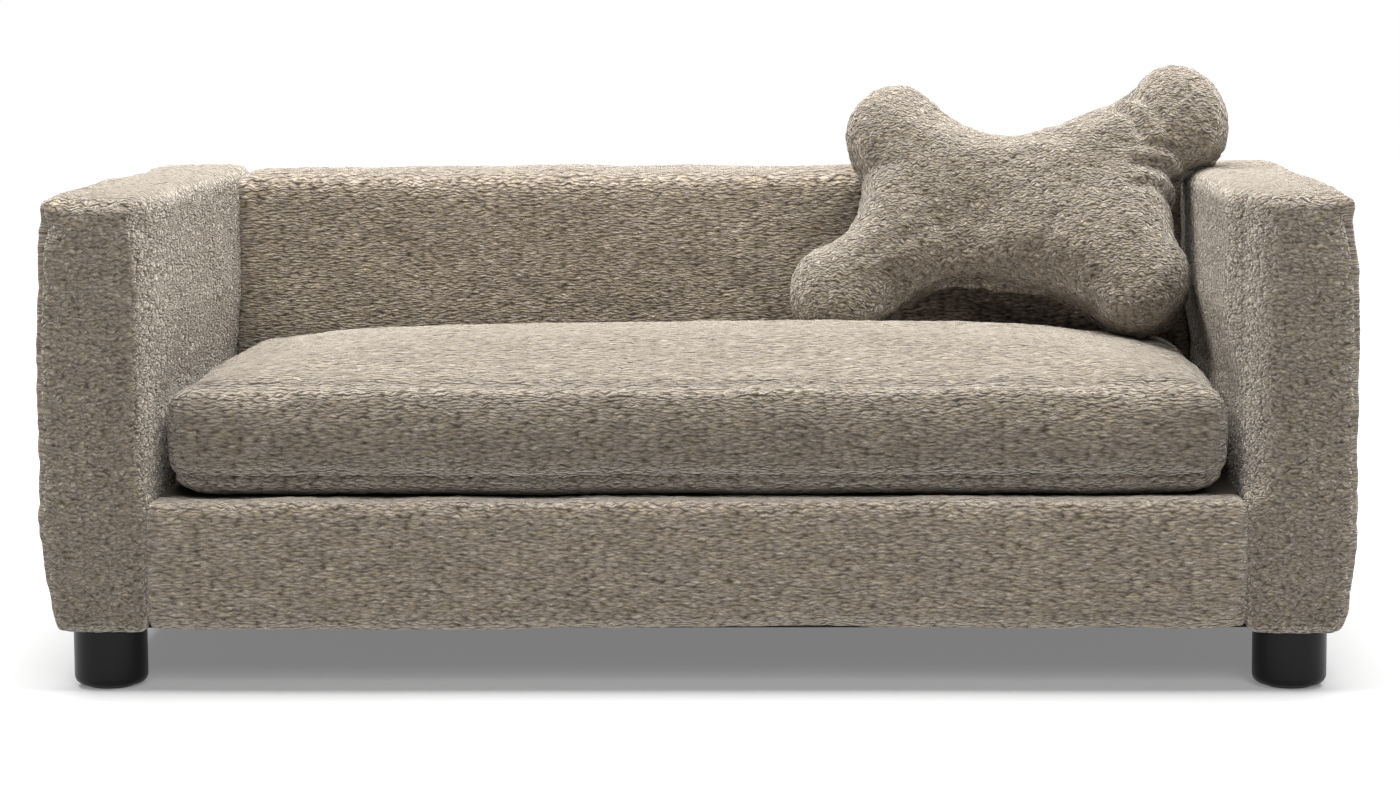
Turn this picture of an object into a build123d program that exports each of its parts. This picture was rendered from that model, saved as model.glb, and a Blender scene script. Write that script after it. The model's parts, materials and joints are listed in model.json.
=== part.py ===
"""A small upholstered sofa for a dog, with a loose seat cushion and a loose bone-shaped pillow.

Two padded box arms and a padded back stand round a plywood deck. A frame of softwood rails, posts and
hardboard skins carries foam padding, and a chenille cover goes over the padding. Four turned legs screw
into T-nuts in the corner blocks.

+X is left to right as seen from the front, +Y runs from the front to the back, and +Z is up. The origin
is on the floor, under the middle of the sofa. All sizes are in millimetres.
"""

import os
from math import cos, radians, sin, sqrt

from build123d import *

# ---------------------------------------------------------------- driving sizes
# Over the covers
width = 900
depth = 480
height = 340  # floor to the top of the arms
arm_width = 75
back_depth = 95
back_drop = 4  # the back's top is this much lower than the arms'
seat_height = 132  # floor to the deck cloth
leg_height = 44  # floor to the dust cloth
soft_edge = 8  # radius of the covers' long edges

# Layers
cover = 3
pad = 8
skin = 3
deck_board = 9
deck_cloth = 1.5
dust_cloth = 1.2
hem = 26  # width of the cover turned under the frame and stapled there
dust_margin = 12  # bare strip of hem outside the dust cloth

# Timber sections
post = 30
rail = 30
front_board = 18
batten = 18
batten_height = 20
slat = 32
slat_count = 3
block_length = 64

# Legs and what holds them
leg_radius = 25.5
leg_inward = 3  # the arm's middle to the leg's axis, towards the seat
leg_end_inset = 10  # front or back of the sofa to the side of the leg
leg_edge = 7  # radius round the leg's foot
leg_rim = 1
glide_radius = 16
glide_thickness = 3.5
glide_stand = 1.5  # how far the glide holds the leg off the floor
stud_radius = 4
stud_in_leg = 24
thread_gap = 0.05
t_nut_barrel = 5
t_nut_length = 12
t_nut_flange = 10
t_nut_plate = 1.6
t_nut_gap = 0.1

# Wood screws, long frame screws and staples
screw_radius = 2
screw_head = 4
screw_length = 50
screw_edge = 5  # a wood screw's axis to the frame's end or top
screw_spread = 10  # a pair of screws stands this far each side of the arm frame's middle
frame_screw_radius = 2.25
frame_screw_head = 4.5
frame_screw_length = 80
frame_screw_edge = 13  # a frame screw's axis to the frame's end
staple_width = 10
staple_wire = 0.8
staple_depth = 8
staple_pitch = 62
staple_clear = 19  # a leg's side to the middle of the nearest staple

# Seat cushion
cushion_side_gap = 8
cushion_setback = 14  # front of the arms to the front of the cushion
cushion_back_gap = 10
cushion_side = 78  # height of its boxing
cushion_crown = 16  # rise of the top above the boxing, and the radius of its rolled edge
cushion_corner = 22
cushion_foot = 10

# Zip in the back of the cushion's boxing
zip_share = 0.76  # of the cushion's width
tape_height = 24
tape_thickness = 0.8
coil_height = 6
coil_thickness = 2.2
slider_length = 13
slider_wall = 1.2
slider_gap = 0.3
pin_radius = 1.2
pin_length = 2
pin_head = 0.6
pull_gap = 0.25
pull_length = 22
pull_width = 7
pull_thickness = 1.3

# Bone pillow, in its own plane
lobe_radius = 38
lobe_half_length = 110
lobe_half_height = 61
lobe_slump = 21  # the upper lobes lean this far right and the lower ones this far left
side_hollow = -8  # the long sides' hollows, measured outwards from the line through the lobes' centres
end_hollow = 6  # the same for the two ends
pillow_thickness = 76
pillow_edge = 29
pillow_cover = 2
pillow_lean = 25  # degrees back from upright
pillow_yaw = -6  # degrees, the right end comes forward
pillow_side_gap = 22
pillow_gap = 1.5

# ---------------------------------------------------------------- planes worked out from them
standing = (Align.CENTER, Align.CENTER, Align.MIN)
hanging = (Align.CENTER, Align.CENTER, Align.MAX)

half_width = width / 2
half_depth = depth / 2
seat_half = half_width - arm_width
back_face = half_depth - back_depth
back_top = height - back_drop
layer = cover + pad

under = leg_height + dust_cloth  # underside of the covers' hems
frame_bottom = under + cover
frame_top = height - layer
frame_side = half_width - layer
frame_end = half_depth - layer
arm_frame_inner = seat_half + layer
core_inner = arm_frame_inner + skin
core_outer = frame_side - skin
core_middle = (core_inner + core_outer) / 2
block_top = frame_bottom + rail
back_frame_face = back_face + layer
back_frame_top = back_top - layer
board_back = -frame_end + front_board
deck_top = seat_height - layer
deck_underside = deck_top - deck_board
slat_underside = deck_underside - batten_height

sides = {"left": -1, "right": 1}
ends = {"front": -1, "rear": 1}
leg_x = half_width - arm_width / 2 - leg_inward
leg_y = half_depth - leg_end_inset - leg_radius
corners = [
    (f"{end}_{side}", sx * leg_x, sy * leg_y)
    for end, sy in ends.items()
    for side, sx in sides.items()
]

os.makedirs("parts", exist_ok=True)


def write(builder, name):
    """Labels a finished piece and writes its STEP file."""
    builder.part.label = name
    export_step(builder.part, f"parts/{name}.step")


def slab(x, y, z, mode=Mode.ADD):
    """A plain block between two corners, given as three pairs, worked into the part in hand."""
    with Locations(tuple(sum(pair) / 2 for pair in (x, y, z))):
        Box(abs(x[1] - x[0]), abs(y[1] - y[0]), abs(z[1] - z[0]), mode=mode)


# ---------------------------------------------------------------- fasteners
# A countersunk screw stands along +Z with its head's flat face at the origin.
with BuildPart() as wood_screw:
    Cylinder(screw_radius, screw_length, align=standing)
    Cone(screw_head, screw_radius, screw_head - screw_radius, align=standing)

with BuildPart() as frame_screw:
    Cylinder(frame_screw_radius, frame_screw_length, align=standing)
    Cone(frame_screw_head, frame_screw_radius, frame_screw_head - frame_screw_radius, align=standing)

# Pairs of wood screws: up through each corner block into its post, and through each post into the top rail.
with BuildPart() as wood_screws:
    for sx in sides.values():
        for sy in ends.values():
            for spread in (-screw_spread, screw_spread):
                x = sx * core_middle + spread
                with Locations(Plane((x, sy * (frame_end - screw_edge), frame_bottom), z_dir=(0, 0, 1))):
                    add(wood_screw.part)
                with Locations(Plane((x, sy * frame_end, frame_top - screw_edge), z_dir=(0, -sy, 0))):
                    add(wood_screw.part)

# Long screws from each arm's outer face: two into the front board and two into each end of the back.
low_screw = frame_bottom + rail / 2
board_screw = (block_top + deck_top) / 2
back_screw = back_frame_top - rail / 2
with BuildPart() as frame_screws:
    for sx in sides.values():
        for sy, z in ((-1, low_screw), (-1, board_screw), (1, low_screw), (1, back_screw)):
            start = (sx * core_outer, sy * (frame_end - frame_screw_edge), z)
            with Locations(Plane(start, z_dir=(-sx, 0, 0))):
                add(frame_screw.part)

# Hanger bolts stand in the legs and screw into the T-nuts, which lie flush in the corner blocks.
with BuildPart() as hanger_bolts:
    for _, x, y in corners:
        with Locations((x, y, leg_height - stud_in_leg)):
            Cylinder(stud_radius, stud_in_leg + block_top - t_nut_plate - leg_height, align=standing)

with BuildPart() as t_nuts:
    for _, x, y in corners:
        with Locations((x, y, block_top)):
            Cylinder(t_nut_flange, t_nut_plate, align=hanging)
            Cylinder(t_nut_barrel, t_nut_plate + t_nut_length, align=hanging)
            bore = stud_radius + thread_gap
            Cylinder(bore, t_nut_plate + t_nut_length, align=hanging, mode=Mode.SUBTRACT)


def staple_places():
    """Where the staples go, as (x, y, turn): the middle of the strip that dust cloth and hem share."""
    line_x = half_width - (hem + dust_margin) / 2
    line_y = half_depth - (hem + dust_margin) / 2
    places = []
    for leg_place, fixed, turn in ((leg_x, line_y, 0), (leg_y, line_x, 90)):
        clear = leg_place - leg_radius - staple_clear
        count = round(2 * clear / staple_pitch)
        for i in range(count + 1):
            place = clear * (2 * i / count - 1)
            for side in (-fixed, fixed):
                places.append((place, side, turn) if turn == 0 else (side, place, turn))
    return places


with BuildPart() as staples:
    for x, y, turn in staple_places():
        with Locations(Location((x, y, leg_height), (0, 0, turn))):
            Box(staple_width, staple_wire, staple_wire, align=hanging)
            with Locations(
                (-(staple_width - staple_wire) / 2, 0, -staple_wire),
                ((staple_width - staple_wire) / 2, 0, -staple_wire),
            ):
                Box(staple_wire, staple_wire, staple_depth, align=standing)

write(wood_screws, "wood_screws")
write(frame_screws, "frame_screws")
write(hanger_bolts, "hanger_bolts")
write(t_nuts, "t_nuts")
write(staples, "staples")


def board(name, x, y, z, *fasteners):
    """A board, skin or sheet between two corners, with its fasteners' holes, written as a node."""
    with BuildPart() as made:
        slab(x, y, z)
        for fastener in fasteners:
            add(fastener.part, mode=Mode.SUBTRACT)
    write(made, name)


# ---------------------------------------------------------------- legs
for corner, x, y in corners:
    with BuildPart() as leg:
        with Locations((x, y, glide_stand)):
            Cylinder(leg_radius, leg_height - glide_stand, align=standing)
        fillet(leg.edges().filter_by(GeomType.CIRCLE).sort_by(Axis.Z)[0], leg_edge)
        chamfer(leg.edges().filter_by(GeomType.CIRCLE).sort_by(Axis.Z)[-1], leg_rim)
        with Locations((x, y, leg_height)):
            Cylinder(stud_radius, stud_in_leg, align=hanging, mode=Mode.SUBTRACT)
        with Locations((x, y, 0)):
            Cylinder(glide_radius, glide_thickness, align=standing, mode=Mode.SUBTRACT)
    write(leg, f"leg_{corner}")

    with BuildPart() as glide:
        with Locations((x, y, 0)):
            Cylinder(glide_radius, glide_thickness, align=standing)
        fillet(glide.edges().filter_by(GeomType.CIRCLE).sort_by(Axis.Z)[0], glide_stand / 2)
    write(glide, f"glide_{corner}")

# ---------------------------------------------------------------- arm frames
for side, sx in sides.items():
    core_x = (sx * core_inner, sx * core_outer)
    for end, sy in ends.items():
        with BuildPart() as corner_block:
            slab(core_x, (sy * (frame_end - block_length), sy * frame_end), (frame_bottom, block_top))
            with Locations((sx * leg_x, sy * leg_y, block_top)):
                CounterBoreHole(t_nut_barrel + t_nut_gap, t_nut_flange + t_nut_gap, t_nut_plate)
            add(wood_screws.part, mode=Mode.SUBTRACT)
            add(frame_screws.part, mode=Mode.SUBTRACT)
        write(corner_block, f"corner_block_{end}_{side}")
        post_y = (sy * (frame_end - post), sy * frame_end)
        board(f"arm_post_{end}_{side}", core_x, post_y, (block_top, frame_top), wood_screws, frame_screws)

    top_y = (post - frame_end, frame_end - post)
    bottom_y = (block_length - frame_end, frame_end - block_length)
    board(f"arm_top_rail_{side}", core_x, top_y, (frame_top - rail, frame_top), wood_screws)
    board(f"arm_bottom_rail_{side}", core_x, bottom_y, (frame_bottom, block_top), staples)
    skin_yz = ((-frame_end, frame_end), (frame_bottom, frame_top))
    board(f"arm_inner_skin_{side}", (sx * arm_frame_inner, sx * core_inner), *skin_yz, frame_screws)
    board(f"arm_outer_skin_{side}", (sx * core_outer, sx * frame_side), *skin_yz)

# ---------------------------------------------------------------- back frame, between the arms' inner skins
between = (-arm_frame_inner, arm_frame_inner)
core_y = (back_frame_face + skin, frame_end - skin)
board("back_top_rail", between, core_y, (back_frame_top - rail, back_frame_top), frame_screws)
board("back_bottom_rail", between, core_y, (frame_bottom, block_top), frame_screws, staples)
board("back_centre_stile", (-post / 2, post / 2), core_y, (block_top, back_frame_top - rail))
board("back_front_skin", between, (back_frame_face, core_y[0]), (frame_bottom, back_frame_top))
board("back_rear_skin", between, (core_y[1], frame_end), (frame_bottom, back_frame_top))

# ---------------------------------------------------------------- seat base
board("front_board", between, (-frame_end, board_back), (frame_bottom, deck_top), frame_screws, staples)
batten_z = (slat_underside - batten_height, slat_underside)
board("front_batten", between, (board_back, board_back + batten), batten_z)
board("rear_batten", between, (back_frame_face - batten, back_frame_face), batten_z)
for i in range(slat_count):
    x = 2 * arm_frame_inner * (i + 1) / (slat_count + 1) - arm_frame_inner
    slat_x = (x - slat / 2, x + slat / 2)
    board(f"deck_slat_{i + 1}", slat_x, (board_back, back_frame_face), (slat_underside, deck_underside))
board("deck_board", between, (board_back, back_frame_face), (deck_underside, deck_top))

# ---------------------------------------------------------------- padding and covers
# What the frames of the back and of the seat take out of the padding and covers round them.
back_frame_zone = (between, (back_frame_face, frame_end), (under, back_frame_top))
seat_frame_zone = (between, (-frame_end, back_frame_face), (under, deck_top))


def arm_shape(made, inset, sx):
    """An arm's rounded box, this far inside its cover's outer face, worked into the part in hand."""
    x = (sx * (seat_half + inset), sx * (half_width - inset))
    slab(x, (inset - half_depth, half_depth - inset), (under + inset, height - inset))
    fillet(made.edges().filter_by(Axis.Z), soft_edge - inset)
    fillet(made.faces().sort_by(Axis.Z)[-1].edges(), soft_edge - inset)


for side, sx in sides.items():
    with BuildPart() as arm_inside:
        arm_shape(arm_inside, cover, sx)

    arm_x = (sx * arm_frame_inner, sx * frame_side)
    arm_frame_zone = (arm_x, (-frame_end, frame_end), (frame_bottom, frame_top))
    with BuildPart() as arm_pad:
        add(arm_inside.part)
        for zone in (arm_frame_zone, back_frame_zone, seat_frame_zone):
            slab(*zone, mode=Mode.SUBTRACT)
    write(arm_pad, f"arm_pad_{side}")

    mouth_x = (sx * seat_half, sx * (half_width - hem))
    mouth_zone = (mouth_x, (hem - half_depth, half_depth - hem), (under, frame_bottom))
    with BuildPart() as arm_cover:
        arm_shape(arm_cover, 0, sx)
        add(arm_inside.part, mode=Mode.SUBTRACT)
        for zone in (mouth_zone, back_frame_zone, seat_frame_zone):
            slab(*zone, mode=Mode.SUBTRACT)
        add(staples.part, mode=Mode.SUBTRACT)
    write(arm_cover, f"arm_cover_{side}")

seat_x = (-seat_half, seat_half)


def back_shape(made, inset):
    """The back between the arms, this far inside its cover's outer face, worked into the part in hand."""
    slab(seat_x, (back_face + inset, half_depth - inset), (under + inset, back_top - inset))
    fillet(made.faces().sort_by(Axis.Z)[-1].edges().filter_by(Axis.X), soft_edge - inset)


with BuildPart() as back_inside:
    back_shape(back_inside, cover)

with BuildPart() as back_pad:
    add(back_inside.part)
    slab(*back_frame_zone, mode=Mode.SUBTRACT)
    slab(*seat_frame_zone, mode=Mode.SUBTRACT)
write(back_pad, "back_pad")

with BuildPart() as back_cover:
    back_shape(back_cover, 0)
    add(back_inside.part, mode=Mode.SUBTRACT)
    slab(seat_x, (back_face, half_depth - hem), (under, frame_bottom), mode=Mode.SUBTRACT)
    slab(*seat_frame_zone, mode=Mode.SUBTRACT)
    add(staples.part, mode=Mode.SUBTRACT)
write(back_cover, "back_cover")

# The front board's pad and cover turn back over the deck, as far as the batten behind the board reaches.
turn_back = board_back + batten


def front_shape(made, inset):
    """The front rail, this far inside its cover's outer face, worked into the part in hand."""
    slab(seat_x, (inset - half_depth, turn_back), (under + inset, seat_height - inset))
    fillet(made.edges().filter_by(Axis.X).group_by(Axis.Y)[0].sort_by(Axis.Z)[-1], soft_edge - inset)


with BuildPart() as front_inside:
    front_shape(front_inside, cover)

with BuildPart() as front_pad:
    add(front_inside.part)
    slab(seat_x, (-frame_end, turn_back), (frame_bottom, deck_top), mode=Mode.SUBTRACT)
write(front_pad, "front_pad")

with BuildPart() as front_cover:
    front_shape(front_cover, 0)
    add(front_inside.part, mode=Mode.SUBTRACT)
    slab(seat_x, (hem - half_depth, turn_back), (under, frame_bottom), mode=Mode.SUBTRACT)
    slab(seat_x, (board_back, turn_back), (under, deck_top), mode=Mode.SUBTRACT)
    add(staples.part, mode=Mode.SUBTRACT)
write(front_cover, "front_cover")

deck_y = (turn_back, back_face)
board("deck_pad", seat_x, deck_y, (deck_top, seat_height - deck_cloth))
board("deck_cloth", seat_x, deck_y, (seat_height - deck_cloth, seat_height))

with BuildPart() as dust_cover:
    dust_x = half_width - dust_margin
    dust_y = half_depth - dust_margin
    slab((-dust_x, dust_x), (-dust_y, dust_y), (leg_height, under))
    with Locations(*[(x, y, leg_height) for _, x, y in corners]):
        Cylinder(t_nut_barrel, dust_cloth, align=standing, mode=Mode.SUBTRACT)
    add(staples.part, mode=Mode.SUBTRACT)
write(dust_cover, "dust_cloth")

# ---------------------------------------------------------------- seat cushion
cushion_half = seat_half - cushion_side_gap
cushion_front = cushion_setback - half_depth
cushion_rear = back_face - cushion_back_gap


def cushion_shape(made, inset):
    """A boxed cushion with a rolled top edge, this far inside its cover's outer face."""
    with BuildSketch(Plane.XY.offset(seat_height + inset)) as plan:
        with Locations((0, (cushion_front + cushion_rear) / 2)):
            long_side = 2 * (cushion_half - inset)
            RectangleRounded(long_side, cushion_rear - cushion_front - 2 * inset, cushion_corner - inset)
    extrude(plan.sketch, amount=cushion_side + cushion_crown - 2 * inset)
    fillet(made.faces().sort_by(Axis.Z)[-1].edges(), cushion_crown - inset)
    fillet(made.faces().sort_by(Axis.Z)[0].edges(), cushion_foot - inset)


with BuildPart() as cushion_core:
    cushion_shape(cushion_core, cover)
write(cushion_core, "cushion_core")

with BuildPart() as cushion_cover:
    cushion_shape(cushion_cover, 0)
    add(cushion_core.part, mode=Mode.SUBTRACT)
write(cushion_cover, "cushion_cover")

# ---------------------------------------------------------------- zip
zip_half = cushion_half * zip_share
zip_z = seat_height + cushion_side / 2
tape_face = cushion_rear + tape_thickness
coil_face = tape_face + coil_thickness
slider_x = slider_length / 2 - zip_half
slider_face = coil_face + slider_gap + slider_wall

with BuildPart() as zip_tape:
    slab((-zip_half, zip_half), (cushion_rear, tape_face), (zip_z - tape_height / 2, zip_z + tape_height / 2))
    slab((-zip_half, zip_half), (tape_face, coil_face), (zip_z - coil_height / 2, zip_z + coil_height / 2))
write(zip_tape, "zip_tape")

# The slider is a channel over the coil, with a headed pin that the pull turns on.
with BuildPart() as zip_slider:
    reach = coil_height / 2 + slider_gap
    wall = reach + slider_wall
    run_x = (-zip_half, slider_length - zip_half)
    slab(run_x, (tape_face + slider_gap, slider_face), (zip_z - wall, zip_z + wall))
    fillet(zip_slider.edges().filter_by(Axis.Y), slider_wall)
    slab(run_x, (tape_face, coil_face + slider_gap), (zip_z - reach, zip_z + reach), mode=Mode.SUBTRACT)
    with BuildSketch(Plane((slider_x, slider_face, zip_z), z_dir=(0, 1, 0))):
        Circle(pin_radius)
    extrude(amount=pin_length)
    with BuildSketch(Plane((slider_x, slider_face + pin_length, zip_z), z_dir=(0, 1, 0))):
        Circle(2 * pin_radius)
    extrude(amount=pin_head)
write(zip_slider, "zip_slider")

with BuildPart() as zip_pull:
    pull_y = slider_face + (pin_length - pull_thickness) / 2
    with BuildSketch(Plane((slider_x, pull_y, zip_z), x_dir=(0, 0, -1), z_dir=(0, 1, 0))):
        with Locations((pull_length / 2, 0)):
            SlotOverall(pull_length + pull_width, pull_width)
        Circle(pin_radius + pull_gap, mode=Mode.SUBTRACT)
        with Locations((pull_length * 0.7, 0)):
            SlotOverall(pull_length / 2, pull_width / 2, mode=Mode.SUBTRACT)
    extrude(amount=pull_thickness)
write(zip_pull, "zip_pull")

# ---------------------------------------------------------------- bone pillow
# Its plane: "along" runs from end to end of the pillow, and "facing" looks out of its front.
lean = radians(pillow_lean)
yaw = radians(pillow_yaw)
along = Vector(cos(yaw), sin(yaw), 0)
facing = Vector(sin(yaw) * cos(lean), -cos(yaw) * cos(lean), sin(lean))
lobes = [
    Vector(lobe_slump - lobe_half_length, lobe_half_height),
    Vector(lobe_slump + lobe_half_length, lobe_half_height),
    Vector(lobe_half_length - lobe_slump, -lobe_half_height),
    Vector(-lobe_half_length - lobe_slump, -lobe_half_height),
]

# The lower lobes stand on the cushion's top. A lobe reaches this far below its own centre.
pillow_half = pillow_thickness / 2
lobe_drop = pillow_edge + (lobe_radius - pillow_edge) * cos(lean) + (pillow_half - pillow_edge) * sin(lean)
cushion_top = seat_height + cushion_side + cushion_crown
pillow_z = cushion_top + pillow_gap + lobe_drop + lobe_half_height * cos(lean)

# Upper lobes that clear the back and the arm hang over them. Otherwise the pillow stays inside. The right
# one's centre is inside the arm's face, so its rim has risen a little where it crosses that face.
lobe_bottom = pillow_z + lobe_half_height * cos(lean) - lobe_drop
inside_face = min(max(pillow_side_gap + lobe_radius - 2 * lobe_slump, 0), lobe_radius)
rim_rise = (lobe_radius - sqrt(lobe_radius**2 - inside_face**2)) * cos(lean)
overhangs = lobe_bottom - pillow_gap > max(back_top, height - rim_rise)
lobe_reach = lobe_half_length + lobe_radius + (-lobe_slump if overhangs else lobe_slump)
lean_height = (back_top if overhangs else pillow_z + lobe_half_height) - pillow_z
lean_reach = pillow_half + lean_height * sin(lean) + lobe_half_length * sin(-yaw) * cos(lean)
pillow_x = seat_half - pillow_side_gap - lobe_reach
pillow_y = back_face - pillow_gap - lean_reach / cos(lean)


def bone_shape(made, inset):
    """Four round lobes joined by hollow arcs that run smoothly into them, thick and soft-edged."""
    radius = lobe_radius - inset
    joints = []
    for i, start in enumerate(lobes):
        end = lobes[(i + 1) % len(lobes)]
        half = (end - start).length / 2
        outward = Vector(start.Y - end.Y, end.X - start.X).normalized()
        hollow = side_hollow if i % 2 == 0 else end_hollow
        hollow_radius = (half**2 + hollow**2 - lobe_radius**2) / (2 * (lobe_radius - hollow))
        hollow_centre = (start + end) / 2 + outward * (hollow + hollow_radius)
        deepest = hollow_centre - outward * (hollow_radius + inset)
        joints.append([lobe + (hollow_centre - lobe).normalized() * radius for lobe in (start, end)])
        joints[-1].insert(1, deepest)
    with BuildSketch(Plane((pillow_x, pillow_y, pillow_z), x_dir=along, z_dir=facing)) as outline:
        with BuildLine():
            for i, hollow_arc in enumerate(joints):
                ThreePointArc(*hollow_arc)
                lobe = lobes[(i + 1) % len(lobes)]
                tip = lobe + lobe.normalized() * radius
                ThreePointArc(hollow_arc[-1], tip, joints[(i + 1) % len(joints)][0])
        make_face()
    extrude(outline.sketch, amount=pillow_half - inset, both=True)
    fillet(made.edges().filter_by(GeomType.CIRCLE), pillow_edge - inset)


with BuildPart() as pillow_fill:
    bone_shape(pillow_fill, pillow_cover)
write(pillow_fill, "pillow_fill")

with BuildPart() as bone_cover:
    bone_shape(bone_cover, 0)
    add(pillow_fill.part, mode=Mode.SUBTRACT)
write(bone_cover, "pillow_cover")
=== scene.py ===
# %% [markdown]
# # A small upholstered dog sofa
# The sofa is a timber box frame with foam over it and looped chenille cloth over the foam. This lesson
# dresses the finished frame. The tight covers of the arms, the back and the rail are swollen by a simple
# rule, the loose seat cushion and the bone pillow are stuffed with a cloth simulation, and all of them share
# one procedural chenille.

# %% Load the frame
import json
import math

import bpy
import numpy as np
from mathutils import Matrix, Vector


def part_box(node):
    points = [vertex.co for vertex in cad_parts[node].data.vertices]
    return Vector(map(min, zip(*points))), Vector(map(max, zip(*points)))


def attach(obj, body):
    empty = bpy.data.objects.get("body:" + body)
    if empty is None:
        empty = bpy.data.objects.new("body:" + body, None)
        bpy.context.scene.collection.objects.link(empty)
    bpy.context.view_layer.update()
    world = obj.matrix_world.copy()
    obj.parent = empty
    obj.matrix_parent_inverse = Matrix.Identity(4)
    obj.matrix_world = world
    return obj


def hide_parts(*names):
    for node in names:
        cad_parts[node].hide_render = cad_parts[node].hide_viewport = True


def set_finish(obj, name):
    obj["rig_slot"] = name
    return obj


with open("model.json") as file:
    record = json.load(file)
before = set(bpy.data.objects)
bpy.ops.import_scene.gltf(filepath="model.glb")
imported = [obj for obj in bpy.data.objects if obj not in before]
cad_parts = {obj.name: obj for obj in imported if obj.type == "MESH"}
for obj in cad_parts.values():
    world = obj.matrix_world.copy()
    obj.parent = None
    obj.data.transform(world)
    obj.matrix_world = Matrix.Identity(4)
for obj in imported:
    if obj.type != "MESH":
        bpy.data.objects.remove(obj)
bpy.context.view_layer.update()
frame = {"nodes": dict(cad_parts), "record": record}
scene = bpy.context.scene

# %% [markdown]
# ## Camera, floor and light
# A long lens a little above the seat, looking slightly down, keeps the sofa's long lines nearly level. The
# camera's place is given as a distance, a turn and a tilt, so that each number can be changed alone.

# %% Camera
CAMERA_PLACE = (0.093, -2.708, 0.477)
CAMERA_TURN = math.radians(-2.05)
CAMERA_TILT = math.radians(6.33)
CAMERA_ROLL = math.radians(-0.39)
LENS_MM = 94.0
SENSOR_MM = 36.0
FAR_CLIP = 50.0

forward = Vector((
    math.sin(CAMERA_TURN) * math.cos(CAMERA_TILT),
    math.cos(CAMERA_TURN) * math.cos(CAMERA_TILT),
    -math.sin(CAMERA_TILT),
))
level = Vector((math.cos(CAMERA_TURN), -math.sin(CAMERA_TURN), 0.0))
upward = level.cross(forward)
across = math.cos(CAMERA_ROLL) * level + math.sin(CAMERA_ROLL) * upward
upright = math.cos(CAMERA_ROLL) * upward - math.sin(CAMERA_ROLL) * level

bpy.ops.object.select_all(action="DESELECT")
bpy.ops.object.camera_add()
camera = bpy.context.object
turned = Matrix((across, upright, -forward)).transposed().to_4x4()
camera.matrix_world = Matrix.Translation(CAMERA_PLACE) @ turned
camera.data.lens = LENS_MM
camera.data.sensor_width = SENSOR_MM
camera.data.clip_end = FAR_CLIP
scene.camera = camera
scene.view_settings.view_transform = "Standard"
print("camera at", CAMERA_PLACE, "with a lens of", LENS_MM, "mm")

# %% [markdown]
# A shader is easier to read as arithmetic than as a list of nodes. The class below wraps one socket, so that
# a sum or a product of sockets adds the Math nodes that make it.

# %% Shader arithmetic
class Wire:
    """An output socket of a shader node, with arithmetic that adds Math nodes."""

    def __init__(self, tree, socket):
        self.tree = tree
        self.socket = socket

    def node(self, kind, settings=None, out=0, **sockets):
        """Adds a node: its settings first, then values or links on its sockets, by name or as in0, in1."""
        made = self.tree.nodes.new(kind)
        for key, value in (settings or {}).items():
            if key == "stops":
                ramp = made.color_ramp.elements
                while len(ramp) < len(value):
                    ramp.new(0.5)
                for stop, (place, colour) in zip(ramp, value):
                    stop.position = place
                    stop.color = (*colour, 1.0)
            else:
                setattr(made, key, value)
        for key, value in sockets.items():
            number = key[2:] if key.startswith("in") and key[2:].isdigit() else None
            target = made.inputs[int(number)] if number else made.inputs[key.replace("_", " ")]
            if isinstance(value, Wire):
                self.tree.links.new(value.socket, target)
            else:
                target.default_value = value
        return Wire(self.tree, made.outputs[out])

    def maths(self, operation, first, second=0.0):
        return self.node("ShaderNodeMath", {"operation": operation}, in0=first, in1=second)

    def __add__(self, other):
        return self.maths("ADD", self, other)

    def __radd__(self, other):
        return self.maths("ADD", other, self)

    def __sub__(self, other):
        return self.maths("SUBTRACT", self, other)

    def __rsub__(self, other):
        return self.maths("SUBTRACT", other, self)

    def __mul__(self, other):
        return self.maths("MULTIPLY", self, other)

    def __rmul__(self, other):
        return self.maths("MULTIPLY", other, self)

    def clamp(self):
        return self.node("ShaderNodeClamp", Value=self)

    def vector(self, operation, other):
        """Vector Math with another vector."""
        return self.node("ShaderNodeVectorMath", {"operation": operation}, in0=self, in1=other)

    def mix(self, first, second):
        """Colour Mix with this value as its factor."""
        return self.node("ShaderNodeMix", {"data_type": "RGBA"}, out=2, in0=self, in6=first, in7=second)

    def ramp(self, *stops):
        return self.node("ShaderNodeValToRGB", {"stops": stops}, Fac=self)


def colour(red, green, blue):
    """A colour given as 0 to 255, turned into the linear values that light adds up in."""
    return tuple(((part / 255 + 0.055) / 1.055) ** 2.4 for part in (red, green, blue))


def new_material(name, **constants):
    """A material, its Principled shader with these constants set, and a Wire of Object coordinates."""
    material = bpy.data.materials.new(name)
    material.use_nodes = True
    tree = material.node_tree
    shader = tree.nodes["Principled BSDF"]
    for key, value in constants.items():
        shader.inputs[key.replace("_", " ")].default_value = value
    place = tree.nodes.new("ShaderNodeTexCoord")
    return material, shader, Wire(tree, place.outputs["Object"])


def feed(shader, **sockets):
    """Links Wires to the shader's sockets."""
    for key, wire in sockets.items():
        wire.tree.links.new(wire.socket, shader.inputs[key.replace("_", " ")])


# %% [markdown]
# The floor is a plain white sheet of board. It glows a little, more so away from the sofa, so that the shade
# under the sofa stays a soft grey and the rest is white. One wide soft light hangs over the sofa and a weak
# one stands before it, so that the tops are bright and the fronts are in soft shade.

# %% Floor, lights and surround
FLOOR_WHITE = 0.42
FLOOR_GLOW = 0.20
FLOOR_SIDE = 16.0
SHADE_REACH = 1.0  # the glow is faint within this distance of the sofa's middle
SHADE_FADE = 0.7
AMBIENT = 0.12

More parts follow.
